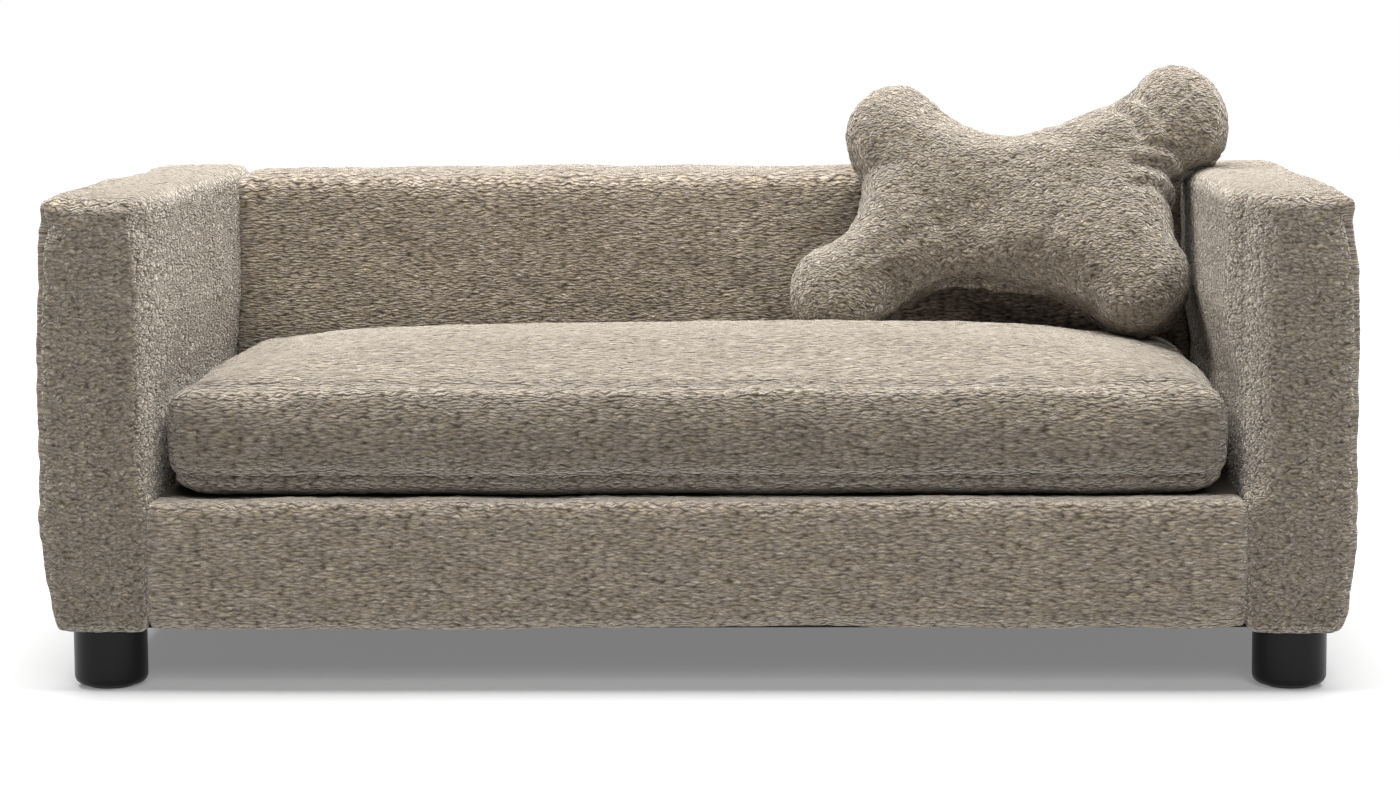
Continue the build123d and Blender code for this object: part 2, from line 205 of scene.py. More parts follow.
bpy.ops.mesh.primitive_plane_add(size=1, location=(0, -0.1, 0))
floor = bpy.context.object
floor.name = "studio_floor"
floor.scale = (FLOOR_SIDE, FLOOR_SIDE, 1.0)
bpy.ops.object.transform_apply(location=True, rotation=True, scale=True)
floor_white, floor_shader, floor_place = new_material(
    "floor_white",
    Roughness=0.9,
    Base_Color=(FLOOR_WHITE, FLOOR_WHITE, FLOOR_WHITE, 1),
    Specular_IOR_Level=0.0,
    Emission_Strength=1.0,
)
from_sofa = floor_place.node("ShaderNodeVectorMath", {"operation": "LENGTH"}, out=1, in0=floor_place)
lit = ((from_sofa - SHADE_REACH) * SHADE_FADE).clamp()
feed(floor_shader, Emission_Color=lit.mix((FLOOR_GLOW, FLOOR_GLOW, FLOOR_GLOW, 1), (1, 1, 1, 1)))
floor.data.materials.append(floor_white)


def soft_light(name, place, aim, size, watts):
    """A rectangular studio light that looks at a point."""
    bpy.ops.object.light_add(type="AREA", location=place)
    light = bpy.context.object
    light.name = name
    light.data.shape = "RECTANGLE"
    light.data.size, light.data.size_y = size
    light.data.energy = watts
    light.rotation_euler = (Vector(aim) - Vector(place)).to_track_quat("-Z", "Y").to_euler()
    return light


soft_light("overhead_light", (0.0, 0.35, 2.2), (0, 0.3, 0.0), (3.6, 2.6), 245)
soft_light("front_light", (0.5, -3.2, 2.0), (0, 0, 0.25), (1.8, 1.4), 72)

world = bpy.data.worlds.new("surround")
world.use_nodes = True
scene.world = world
seen = Wire(world.node_tree, world.node_tree.nodes.new("ShaderNodeLightPath").outputs["Is Camera Ray"])
background = world.node_tree.nodes["Background"]
background.inputs["Color"].default_value = (1, 1, 1, 1)
world.node_tree.links.new((seen * (1 - AMBIENT) + AMBIENT).socket, background.inputs["Strength"])

# %% [markdown]
# ## The chenille
# Chenille of this kind has short fat loops, about 4 to 6 mm long and 1.5 mm thick, that lie along the cloth's
# width. Each loop has its own tint, and the gaps between loops are painted dark as shade. Stretched Voronoi
# cells give one cell to each loop: the cell's own random colour tints it, and the distance to its centre
# rounds it and paints shade at its edge.

# %% Chenille cloth
TAUPE = colour(150, 138, 123)
DARK_TAUPE = colour(112, 101, 88)
LIGHT_TAUPE = colour(190, 178, 162)
STRAW = colour(160, 144, 108)
MAUVE = colour(134, 123, 122)
CREAM = colour(190, 179, 164)
# painted shade: the dark colour drawn into the gaps between loops, the creases and the seam lines
CREVICE_SHADE = colour(50, 42, 33)
SEAM_WIDTH = 0.0032
SEAM_SHADE = 0.3
SEAM_SINK = 0.7
CREASE_SHARPNESS = 9.0
CREASE_SHARE = 0.3
FLECK_SHARE = 0.4
RELIEF_DEPTH = 0.0024
DRIFT_SCALE = 200.0
FIBRE_SCALE = 1300.0
CLOUD_SCALE = 24.0
SHEEN_TINT = (1.0, 0.93, 0.84, 1.0)


def chenille(name, length, thickness, wander):
    """Looped chenille on the UV map "weave", in metres: a loop's size, and how far the loops wander."""
    material, shader, place = new_material(
        name,
        Roughness=0.95,
        Sheen_Weight=0.75,
        Sheen_Roughness=0.35,
        Sheen_Tint=SHEEN_TINT,
        Specular_IOR_Level=0.1,
    )
    flat = {"voronoi_dimensions": "2D"}
    weave = place.node("ShaderNodeUVMap", {"uv_map": "weave"})
    drift = place.node("ShaderNodeTexNoise", out=1, Vector=weave, Scale=DRIFT_SCALE, Detail=1.0)
    centred = drift.vector("SUBTRACT", (0.5, 0.5, 0.5))
    wandered = weave.vector("ADD", centred.vector("MULTIPLY", (wander, wander, 0.0)))
    stretched = wandered.vector("MULTIPLY", (1 / length, 1 / thickness, 0.0))
    reach = place.node("ShaderNodeTexVoronoi", flat, Vector=stretched, Scale=1.0)
    shade = place.node("ShaderNodeTexVoronoi", flat, out=1, Vector=stretched, Scale=1.0)
    lottery = place.node("ShaderNodeSeparateColor", Color=shade)
    second = place.node("ShaderNodeSeparateColor", out=1, Color=shade)
    ridges = place.node("ShaderNodeTexNoise", Vector=stretched, Scale=0.6, Detail=1.0)
    fibres = place.node("ShaderNodeTexNoise", Vector=wandered, Scale=FIBRE_SCALE, Detail=2.0)
    clouds = place.node("ShaderNodeTexNoise", Vector=weave, Scale=CLOUD_SCALE, Detail=4.0, Roughness=0.65)
    stitch = place.node("ShaderNodeAttribute", {"attribute_name": "seam"}, out=2)
    sewn = (1.0 - stitch * (1 / SEAM_WIDTH)).clamp()

    loop = (1.15 - reach * 1.35).clamp()
    crease = (place.maths("ABSOLUTE", ridges - 0.5) * CREASE_SHARPNESS).clamp()
    body = lottery.ramp((0.0, DARK_TAUPE), (0.35, TAUPE), (0.7, TAUPE), (1.0, LIGHT_TAUPE))
    fleck = second.ramp((0.0, STRAW), (0.3, TAUPE), (0.66, TAUPE), (0.82, MAUVE), (1.0, CREAM))
    mixed = place.node("ShaderNodeMix", {"data_type": "RGBA"}, out=2, in0=FLECK_SHARE, in6=body, in7=fleck)
    patch = ((clouds - 0.3) * 2.0).clamp() * 0.16 + 0.90
    # Painted shade: the colour is drawn towards the dark crevice colour in the gaps between loops, in the
    # creases and along the seams.
    depth = (loop * 0.75 + crease * CREASE_SHARE + fibres * 0.3 - 0.12 - sewn * SEAM_SHADE).clamp()
    shadowed = depth.mix((*CREVICE_SHADE, 1.0), mixed)
    # Painted light and shade: the piece's stored factor makes parts of its cloth lighter or darker.
    nap_tone = place.node("ShaderNodeAttribute", {"attribute_name": "nap_tone"}, out=2)
    whole = {"data_type": "RGBA", "blend_type": "MULTIPLY"}
    toned = place.node("ShaderNodeMix", whole, out=2, in0=1.0, in6=shadowed, in7=patch * nap_tone)
    height = loop * 1.0 + crease * CREASE_SHARE + fibres * 0.4 - sewn * SEAM_SINK
    relief = place.node("ShaderNodeBump", Strength=1.0, Distance=RELIEF_DEPTH, Height=height)
    feed(shader, Base_Color=toned, Normal=relief)
    return material


cloth_across = chenille("chenille_across", 0.0058, 0.0015, 0.0027)
cloth_swirled = chenille("chenille_swirled", 0.0038, 0.0016, 0.0050)
print("cloths", cloth_across.name, cloth_swirled.name)

# %% [markdown]
# ## Stuffing
# Each soft body starts as a plain block that is bevelled and remeshed into small even squares. The loose ones
# are then blown up from inside by a cloth simulation, while their sewn lines stay pinned, as foam does under
# a cover. The movement is capped, so that a panel swells by as much as the real one and no more.

# %% Helpers for soft bodies
def only(piece):
    """Selects one object alone and makes it the active one."""
    bpy.ops.object.select_all(action="DESELECT")
    piece.select_set(True)
    bpy.context.view_layer.objects.active = piece


def points_of(piece):
    """The piece's vertices as an array."""
    flat = np.empty(len(piece.data.vertices) * 3)
    piece.data.vertices.foreach_get("co", flat)
    return flat.reshape(-1, 3)


def normals_of(piece):
    """The piece's vertex normals as an array."""
    flat = np.empty(len(piece.data.vertices) * 3)
    piece.data.vertices.foreach_get("normal", flat)
    return flat.reshape(-1, 3)


def move_to(piece, points):
    """Puts the piece's vertices at these points."""
    piece.data.vertices.foreach_set("co", np.asarray(points, float).ravel())
    piece.data.update()


def apply(piece, kind, **settings):
    """Adds one modifier, sets it and applies it."""
    only(piece)
    modifier = piece.modifiers.new(kind.lower(), kind)
    for key, value in settings.items():
        setattr(modifier, key, value)
    bpy.ops.object.modifier_apply(modifier=modifier.name)


def soft_block(name, low, high, edge, voxel=0.005):
    """A bevelled block between two corners, remeshed into even squares."""
    bpy.ops.object.select_all(action="DESELECT")
    bpy.ops.mesh.primitive_cube_add(size=1, location=[(a + b) / 2 for a, b in zip(low, high)])
    piece = bpy.context.object
    piece.name = piece.data.name = name
    piece.scale = [b - a for a, b in zip(low, high)]
    bpy.ops.object.transform_apply(location=True, rotation=True, scale=True)
    bpy.ops.object.mode_set(mode="EDIT")
    bpy.ops.mesh.select_all(action="SELECT")
    bpy.ops.mesh.bevel(offset=edge, segments=4, affect="EDGES")
    bpy.ops.object.mode_set(mode="OBJECT")
    apply(piece, "REMESH", mode="VOXEL", voxel_size=voxel)
    return piece


def gap_to_path(points, path):
    """Distance from each point to the nearest stretch of a path."""
    nearest = np.full(len(points), np.inf)
    for start, end in zip(np.array(path[:-1], float), np.array(path[1:], float)):
        run = end - start
        share = np.clip((points - start) @ run / (run @ run), 0, 1)
        nearest = np.minimum(nearest, np.linalg.norm(points - start - share[:, None] * run, axis=1))
    return nearest


def gap_to_seams(points, seams):
    """Distance from each point to the nearest of several seams."""
    return np.min([gap_to_path(points, seam) for seam in seams], axis=0)


def stuff(piece, pinned, pressure, cap, steps, slack=0.0):
    """Blows the piece up with cloth that is pinned where pinned is true. cap is the most a point moves, and
    slack is how much larger than its rest size the cloth may grow, as a share."""
    rest = points_of(piece)
    group = piece.vertex_groups.new(name="sewn")
    group.add([int(i) for i in np.flatnonzero(pinned)], 1.0, "REPLACE")
    only(piece)
    cloth = piece.modifiers.new("stuffing", "CLOTH")
    cloth.settings.quality = 4
    cloth.settings.use_pressure = True
    cloth.settings.uniform_pressure_force = pressure
    cloth.settings.shrink_min = -slack
    cloth.settings.effector_weights.gravity = 0.0
    cloth.settings.vertex_group_mass = "sewn"
    cloth.collision_settings.use_collision = False
    cloth.point_cache.frame_start = 1
    cloth.point_cache.frame_end = steps
    for step in range(1, steps + 1):
        scene.frame_set(step)
    bpy.ops.object.modifier_apply(modifier="stuffing")
    piece.vertex_groups.clear()
    scene.frame_set(1)
    moved = points_of(piece) - rest
    far = np.linalg.norm(moved, axis=1)
    limit = np.broadcast_to(cap, far.shape)
    eased = limit * np.tanh(far / limit)
    move_to(piece, rest + moved * (eased / np.maximum(far, 1e-9))[:, None])
    print(piece.name, "swelled by", round(far.max() * 1000, 1), "mm, kept", round(eased.max() * 1000, 1))


TABLE_SIZE = 4096
LATTICE_SHIFT = 1000.0  # keeps every lattice number above 0
LATTICE_PRIMES = (73856093, 19349663, 83492791)  # they scatter neighbouring cells over the table


def lattice_noise(points, size, seed):
    """Smooth random values of about -1 to 1 whose bumps are size metres across."""
    rng = np.random.default_rng(seed)
    table = rng.uniform(-1, 1, TABLE_SIZE)
    p, q, r = LATTICE_PRIMES
    cell = points / size + LATTICE_SHIFT
    base = np.floor(cell).astype(int)
    part = cell - base
    part = part * part * (3 - 2 * part)
    value = 0.0
    for corner in range(8):
        step = np.array([corner & 1, corner >> 1 & 1, corner >> 2 & 1])
        where = base + step
        pick = (where[:, 0] * p ^ where[:, 1] * q ^ where[:, 2] * r) % TABLE_SIZE
        weight = np.prod(np.where(step, part, 1 - part), axis=1)
        value = value + table[pick] * weight
    return value


def nap(piece, seed, rumple=0.0012, lump=0.0006):
    """Makes the surface uneven: broad soft rumples, and lumps the size of a few loops."""
    points = points_of(piece)
    rise = rumple * lattice_noise(points, 0.055, seed) + 0.5 * rumple * lattice_noise(points, 0.024, seed + 1)
    rise += lump * lattice_noise(points, 0.0055, seed + 2)
    move_to(piece, points + normals_of(piece) * rise[:, None])


FACE_SHIFT = 0.37  # moves each facing's cloth along, so that two faces never repeat each other


def lay_weave(piece, axes=((1, 0, 0), (0, 1, 0), (0, 0, 1)), spread=(1.0, 1.0, 1.0), wrap=0):
    """A UV map "weave" in metres: each face is laid flat along its own two axes, loops running level.

    spread gives how close the loops lie in depth on sides, fronts and tops: below 1 they are longer there. A
    wrap of 1 or -1 carries the cloth round the upright corners that face that way, without a break."""
    mesh = piece.data
    frame_axes = np.array(axes, float)
    points = points_of(piece) @ frame_axes.T
    facing = np.empty(len(mesh.polygons) * 3)
    mesh.polygons.foreach_get("normal", facing)
    facing = np.abs(facing.reshape(-1, 3) @ frame_axes.T).argmax(axis=1)
    corners = np.empty(len(mesh.loops), int)
    mesh.loops.foreach_get("vertex_index", corners)
    sides = np.empty(len(mesh.polygons), int)
    mesh.polygons.foreach_get("loop_total", sides)
    side = np.repeat(facing, sides)
    first = np.where(side == 0, 1, 0)
    second = np.where(side == 2, 1, 2)
    level_spread = np.array([spread[0], spread[1], spread[2] ** 0.5])[side]
    rising_spread = np.array([1.0, 1.0, spread[2]])[side]
    along = points[corners, first] * level_spread + FACE_SHIFT * side
    if wrap:
        round_corner = wrap * points[corners, 0] - spread[0] * points[corners, 1]
        along = np.where(side == 2, along, round_corner)
    laid = np.stack([along, points[corners, second] * rising_spread], axis=1)
    weave = mesh.uv_layers.new(name="weave")
    weave.data.foreach_set("uv", laid.ravel())


FAR_FROM_SEAM = 0.05


def mark_seams(piece, gap):
    """Stores each point's distance to its nearest seam, for the cloth's stitched line."""
    kept = piece.data.attributes.new("seam", "FLOAT", "POINT")
    kept.data.foreach_set("value", np.clip(gap, 0, FAR_FROM_SEAM).astype(np.float32))


def mark_painted_light(piece, tone):
    """Stores painted light and shade at each point: a factor on the cloth's colour that makes it lighter or
    darker.
    """
    kept = piece.data.attributes.new("nap_tone", "FLOAT", "POINT")
    kept.data.foreach_set("value", np.asarray(tone, np.float32))


def dress(piece, cloth, body, slot, *nodes):
    """Gives a soft piece its cloth and its place on the frame."""
    if "seam" not in piece.data.attributes:
        mark_seams(piece, np.full(len(piece.data.vertices), FAR_FROM_SEAM))
    if "nap_tone" not in piece.data.attributes:
        mark_painted_light(piece, np.ones(len(piece.data.vertices)))
    piece.data.materials.clear()
    piece.data.materials.append(cloth)
    only(piece)
    bpy.ops.object.shade_smooth()
    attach(piece, body)
    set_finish(piece, slot)
    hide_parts(*nodes)
    print(piece.name, len(piece.data.polygons), "faces")


# %% [markdown]
# Foam pushes a tight cover outwards everywhere but at its seams. The swelling therefore rises steeply from a
# seam, like a quarter of an ellipse, and is flat further away. The helpers below work that out for each face
# of a box: how far a point is from the nearest seam, and how much each face swells.

# %% Helpers for tight covers
def puff(gap, reach):
    """0 at a seam and 1 at reach metres from it, rising like a quarter ellipse."""
    short = 1 - np.clip(gap / reach, 0, 1)
    return np.sqrt(1 - short * short)


def facing(piece, direction):
    """How squarely each point faces a direction, from 0 to 1."""
    return np.clip(normals_of(piece) @ np.array(direction, float), 0, 1) ** 2


def push(piece, *swellings):
    """Moves each point along its normal by the sum of the swellings, in metres."""
    move_to(piece, points_of(piece) + normals_of(piece) * sum(swellings)[:, None])


def dent(piece, middle, depth, reach):
    """Presses the surface in round one point; a negative depth pulls it out."""
    gap = np.linalg.norm(points_of(piece) - np.array(middle, float), axis=1)
    push(piece, -depth * np.exp(-((gap / reach) ** 2)))


def pucker(piece, seams, seed, depth=0.0016, reach=0.004, tug=0.0009):
    """Draws the cloth in along seams, harder at some stitches than at others, with small tugs beside them."""
    points = points_of(piece)
    gap = gap_to_seams(points, seams)
    uneven = 1 + 0.45 * lattice_noise(points, 0.012, seed)
    tugs = tug * lattice_noise(points, 0.010, seed + 5) * np.exp(-((gap / 0.016) ** 2))
    push(piece, tugs - depth * uneven * np.exp(-((gap / reach) ** 2)))


# %% [markdown]
# ## The arms
# An arm is a long padded box. One strip of cloth runs up the outside, over the top and down the inside, and a
# narrow panel is sewn on at the front and at the back. The strip swells between the two panels' seams, so
# that the outer side stands out past the front panel's corner. On the inner side the cloth turns on to the
# front in a soft roll, which is wider on the arm that the pillow leans against.

# %% Arms
OUTER_TUCK = 0.009  # the panels' outer corners stand this far inside the swollen side
PANEL_TUCK = 0.004
TOP_TUCK = 0.002
ARM_BEVEL = 0.005
SIDE_SWELL = 0.0025
TOP_SWELL = 0.0065
PANEL_SWELL = 0.004
LIP = 0.0065  # the hem hangs this far below the frame round its edge
LIP_WIDTH = 0.010
LIP_HEIGHT = 0.025
ROLL_FADE = 1.6  # how far back the roll reaches, as a share of its own width
SEAM_SLACK = 0.0011  # stitches in soft pile show less than those in the boxing
FRONT_SHADE = 0.16
BOW_HEIGHTS = (0.044, 0.059, 0.093, 0.124, 0.251, 0.320, 0.340)
BOW = (-0.001, 0.002, 0.0050, 0.0070, 0.0064, 0.0026, 0.0)
SHOULDER_HEIGHT = 0.3  # below it, the panel's seam follows the fuller side
seat_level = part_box("cushion_cover")[1].z
rail_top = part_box("front_cover")[1].z


def make_arm(side, sign, seed, fuller, roll, inner_swell, ear):
    """One arm. sign is -1 for the left one and 1 for the right one. fuller is added to the outer side's bow,
    roll is the width of the soft inner edge, and ear is how far the panel's top outer corner stands out."""
    low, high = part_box(f"arm_cover_{side}")
    outer = (high.x if sign > 0 else low.x) - sign * OUTER_TUCK
    inner = low.x if sign > 0 else high.x
    front, rear = low.y + PANEL_TUCK, high.y - PANEL_TUCK
    bottom, top = low.z, high.z - TOP_TUCK
    corners = (min(outer, inner), front, bottom), (max(outer, inner), rear, top)
    arm = soft_block(f"arm_{side}", *corners, ARM_BEVEL)
    apply(arm, "SUBSURF", levels=1, render_levels=1)
    points = points_of(arm)
    x, y, z = points.T
    to_panel = np.minimum(y - front, rear - y)
    to_hem = z - bottom
    across_panel = np.min([np.abs(x - outer), np.abs(x - inner), top - z, to_hem], axis=0)
    above_seat = np.clip((z - seat_level + 0.02) / 0.05, 0, 1)
    outward = np.clip(sign * (x - inner) / (sign * (outer - inner)), 0, 1)
    bow = np.interp(z, BOW_HEIGHTS, BOW) + fuller * puff(np.minimum(to_hem, top - z), 0.04)
    seams = []
    for end in (front, rear):
        seam = []
        for height, bulge in zip(BOW_HEIGHTS, BOW):
            seam.append((outer + sign * (bulge + fuller * (height < SHOULDER_HEIGHT)), end, height))
        seams.append([*seam, (inner + sign * 0.010, end, top)])
    inner_rise = np.sin(np.clip(to_panel / 0.06, 0, 1) * math.pi / 2)
    push(
        arm,
        SIDE_SWELL * facing(arm, (sign, 0, 0)) * puff(to_panel, 0.05) * puff(to_hem, 0.06),
        TOP_SWELL * facing(arm, (0, 0, 1)) * puff(to_panel, 0.06),
        inner_swell * facing(arm, (-sign, 0, 0)) * inner_rise * above_seat,
        PANEL_SWELL * facing(arm, (0, -1, 0)) * puff(across_panel, 0.03),
        PANEL_SWELL * facing(arm, (0, 1, 0)) * puff(across_panel, 0.03),
    )
    points = points_of(arm)
    points[:, 0] += sign * bow * outward**2
    from_rim = np.minimum(np.abs(points[:, 0] - outer), to_panel)
    points[:, 2] -= LIP * np.exp(-((from_rim / LIP_WIDTH) ** 2)) * np.clip(1 - to_hem / LIP_HEIGHT, 0, 1)
    # Above the seat the cloth turns round the inner edge in a wide soft roll, and no seam holds it there.
    near_inner = np.clip(1 - sign * (points[:, 0] - inner) / roll, 0, 1)
    rolled = roll * (1 - np.sqrt(1 - near_inner**2)) * np.clip((points[:, 2] - rail_top) / 0.012, 0, 1)
    points[:, 1] += rolled * np.clip(1 - (points[:, 1] - front) / (ROLL_FADE * roll), 0, 1)
    move_to(arm, points)
    lay_weave(arm, spread=(0.55, 1.0, 0.75), wrap=sign)
    # The panel's top outer corner is a folded ear that stands out a little.
    points = points_of(arm)
    to_ear = np.linalg.norm(points - (outer + sign * 0.002, front, top - 0.006), axis=1)
    points[:, 0] += sign * ear * np.exp(-((to_ear / 0.009) ** 2))
    move_to(arm, points)
    gap = gap_to_seams(points_of(arm), seams)
    mark_seams(arm, gap + SEAM_SLACK)
    # Painted shade: the front panel's cloth is drawn darker than the top and the sides.
    mark_painted_light(arm, 1 - FRONT_SHADE * facing(arm, (0, -1, 0)))
    pucker(arm, seams, seed + 50)
    dent(arm, (outer, front, top), -0.003, 0.009)
    dent(arm, (outer + sign * 0.001, front, top - 0.018), 0.0030, 0.009)
    dent(arm, (inner + sign * 0.002, front, top - 0.014), 0.0035, 0.010)
    nap(arm, seed, rumple=0.0015)
    dress(arm, cloth_swirled, "sofa", "chenille", f"arm_cover_{side}", f"arm_pad_{side}")


make_arm("left", -1, 11, 0.0028, 0.012, 0.0055, 0.001)
make_arm("right", 1, 23, 0.0030, 0.028, 0.0095, 0.004)

# %% [markdown]
# ## The back
# The back stands between the arms. Its front panel and its top are one cloth, turned over a soft edge, and
# the padding on the top rail makes the top a little round.

# %% Back
BACK_BEVEL = 0.010
BACK_VOXEL = 0.006
BACK_PAINTED_LIGHT = 0.36  # painted light: the cloth on its front is drawn this much lighter
BACK_TOP_SWELL = 0.007
BACK_FRONT_SWELL = 0.003
BACK_REAR_SWELL = 0.004

low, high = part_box("back_cover")
near_corner = (low.x - 0.001, low.y + 0.002, low.z)
far_corner = (high.x + 0.001, high.y - 0.004, high.z - 0.001)
back = soft_block("back", near_corner, far_corner, BACK_BEVEL, BACK_VOXEL)
apply(back, "SUBSURF", levels=1, render_levels=1)
lay_weave(back, spread=(1.0, 1.0, 0.75))
x, y, z = points_of(back).T
from_end = high.x - np.abs(x)
from_top_edge = np.minimum(y - low.y, high.y - y)
above_seat = z - seat_level + 0.02
push(
    back,
    BACK_TOP_SWELL * facing(back, (0, 0, 1)) * puff(from_end, 0.03) * puff(from_top_edge, 0.05),
    BACK_FRONT_SWELL * facing(back, (0, -1, 0)) * puff(from_end, 0.02) * puff(above_seat, 0.03),
    BACK_REAR_SWELL * facing(back, (0, 1, 0)) * puff(from_end, 0.03) * puff(z - low.z, 0.03),
)
# Painted light: the cloth on the back's front face is drawn lighter.
mark_painted_light(back, 1 + BACK_PAINTED_LIGHT * facing(back, (0, -1, 0)))
nap(back, 37, rumple=0.0016)
dress(back, cloth_across, "sofa", "chenille", "back_cover", "back_pad")

# %% [markdown]
# ## The front rail
# The rail's cloth runs over the deck's edge and down to a hem under the frame. The hem was pulled by hand
# between staples, so that its lower edge is not quite straight.

# %% Front rail
RAIL_BEVEL = 0.006
RAIL_PAINTED_LIGHT = 1.07
RAIL_SWELL = 0.0035
RAIL_TOP_SWELL = 0.0015
HEM_HEIGHT = 0.03
HEM_WAVE = 0.0016

low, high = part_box("front_cover")
near_corner = (low.x - 0.004, low.y + 0.002, low.z - 0.001)
rail = soft_block("front_rail", near_corner, (high.x + 0.004, high.y, high.z), RAIL_BEVEL)
apply(rail, "SUBSURF", levels=1, render_levels=1)
lay_weave(rail)
x, y, z = points_of(rail).T
from_end = high.x - np.abs(x)
near_front = np.clip((low.y + 0.03 - y) / 0.01, 0, 1)
push(
    rail,
    RAIL_SWELL * facing(rail, (0, -1, 0)) * puff(from_end, 0.012) * puff(z - low.z, 0.02),
    RAIL_TOP_SWELL * facing(rail, (0, 0, 1)) * puff(from_end, 0.012) * near_front,
)
points = points_of(rail)
at_hem = np.clip(1 - (points[:, 2] - low.z) / HEM_HEIGHT, 0, 1)
points[:, 2] += HEM_WAVE * at_hem * lattice_noise(points * (1, 0, 0), 0.07, 43)
move_to(rail, points)
# Painted light: the whole rail's cloth is drawn a little lighter.
mark_painted_light(rail, np.full(len(rail.data.vertices), RAIL_PAINTED_LIGHT))
nap(rail, 41)
dress(rail, cloth_across, "sofa", "chenille", "front_cover", "front_pad")

# %% [markdown]
# ## The seat cushion
# A boxed cushion: a top and a bottom panel with a strip, the boxing, sewn between them all round. It starts
# as a block whose upright corners are round, and becomes small even squares.

# %% Seat cushion: the block
low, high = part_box("cushion_cover")
CUSHION_TUCK = 0.0015  # the block is this much smaller than the frame's cushion all round
CORNER_ROUND = 0.020
RIM_ROUND = 0.004
CUSHION_VOXEL = 0.0055
UPPER_SEAM = high.z - 0.015
LOWER_SEAM = low.z + 0.017

bpy.ops.object.select_all(action="DESELECT")
bpy.ops.mesh.primitive_cube_add(size=1, location=[(a + b) / 2 for a, b in zip(low, (*high.xy, UPPER_SEAM))])
cushion = bpy.context.object
cushion.name = cushion.data.name = "seat_cushion"
cushion.scale = (high.x - low.x - 2 * CUSHION_TUCK, high.y - low.y - 2 * CUSHION_TUCK, UPPER_SEAM - low.z)
bpy.ops.object.transform_apply(location=True, rotation=True, scale=True)
for edge in cushion.data.edges:
    ends = [cushion.data.vertices[i].co for i in edge.vertices]
    edge.select = abs(ends[0].z - ends[1].z) > 0.01
bpy.ops.object.mode_set(mode="EDIT")
bpy.ops.mesh.select_mode(type="EDGE")
bpy.ops.mesh.bevel(offset=CORNER_ROUND, segments=6, affect="EDGES")
bpy.ops.mesh.select_all(action="SELECT")
bpy.ops.mesh.bevel(offset=RIM_ROUND, segments=2, affect="EDGES", clamp_overlap=True)
bpy.ops.object.mode_set(mode="OBJECT")
apply(cushion, "REMESH", mode="VOXEL", voxel_size=CUSHION_VOXEL)
print(cushion.name, len(cushion.data.polygons), "squares before stuffing")

# %% [markdown]
# The top is crowned, and under the lower seam the sides are drawn in like a quarter of a circle. Then the
# cloth simulation fills the cushion. Its two seams and its resting underside are pinned.

# %% Seat cushion: crown and stuffing
CROWN = 0.021
CROWN_LENGTHWAYS = 3.8  # the higher the power, the flatter the middle and the blunter the ends
CROWN_ACROSS = 2.2
CROWN_FADE = 0.012  # the crown starts this far below the upper seam
FOOT_TUCK = 0.017
RIM_BAND = 0.03
STITCH_BAND = 0.0035
REST_BAND = 0.004
CUSHION_PRESSURE = 4.0
TOP_CAP = 0.005
SIDE_CAP = 0.006

points = points_of(cushion)
middle = np.array([(low.x + high.x) / 2, (low.y + high.y) / 2])
half = np.array([(high.x - low.x) / 2 - CUSHION_TUCK, (high.y - low.y) / 2 - CUSHION_TUCK])
share = np.clip(np.abs(points[:, :2] - middle) / half, 0, 1)
crowned = (1 - share[:, 0] ** CROWN_LENGTHWAYS) * (1 - share[:, 1] ** CROWN_ACROSS)
up = np.clip((points[:, 2] - UPPER_SEAM + CROWN_FADE) / CROWN_FADE, 0, 1)
points[:, 2] += CROWN * crowned * up
under = np.clip((LOWER_SEAM - points[:, 2]) / (LOWER_SEAM - low.z), 0, 1)
drawn_in = 1 - (FOOT_TUCK * (1 - np.sqrt(1 - under**2)))[:, None] / half
points[:, :2] = middle + (points[:, :2] - middle) * drawn_in
move_to(cushion, points)

points = points_of(cushion)
on_side = (np.abs(points[:, :2] - middle) > half - RIM_BAND).any(axis=1)
off_top = normals_of(cushion)[:, 2] < 0.75
sewn_top = on_side & (np.abs(points[:, 2] - UPPER_SEAM + 0.001) < STITCH_BAND) & off_top
sewn_foot = on_side & (np.abs(points[:, 2] - LOWER_SEAM) < STITCH_BAND)
resting = points[:, 2] < low.z + REST_BAND
cap = np.where(points[:, 2] > UPPER_SEAM, TOP_CAP, SIDE_CAP)
stuff(cushion, sewn_top | sewn_foot | resting, CUSHION_PRESSURE, cap, steps=12)
apply(cushion, "SUBSURF", levels=1, render_levels=1)

# %% [markdown]
# The finer shape comes last: the boxing bulges a little between its seams, the stitches draw the cloth in,
# and the rear is pressed flat where the zip's tape lies on it.

# %% Seat cushion: seams, cloth and the zip's place
BOXING_SWELL = 0.002
BOXING_WAVE = 0.0018
STITCH_DRAW = 0.0022
UNDER_SHADE = 0.16
BOXING_SHADE = 0.22
ZIP_GAP = 0.0003  # the cover lies this far in front of the tape

lay_weave(cushion, spread=(0.8, 1.0, 0.7))
x, y, z = points_of(cushion).T
side = 1 - facing(cushion, (0, 0, 1)) - facing(cushion, (0, 0, -1))
between = np.minimum(UPPER_SEAM - z, z - LOWER_SEAM)
drawn = np.exp(-(((z - UPPER_SEAM) / 0.0035) ** 2)) + 0.8 * np.exp(-(((z - LOWER_SEAM) / 0.004) ** 2))
points = points_of(cushion)
push(
    cushion,
    BOXING_SWELL * side * puff(between, 0.035),
    -STITCH_DRAW * drawn * side * (1 + 0.4 * lattice_noise(points, 0.012, 59)),
    BOXING_WAVE * lattice_noise(points, 0.09, 61) * side,
)
points = points_of(cushion)
points[:, 2] = np.maximum(points[:, 2], low.z + 0.0003)
move_to(cushion, points)
to_rim = np.min(half - np.abs(points[:, :2] - middle), axis=1)
to_seam = np.minimum(np.abs(points[:, 2] - UPPER_SEAM), np.abs(points[:, 2] - LOWER_SEAM))
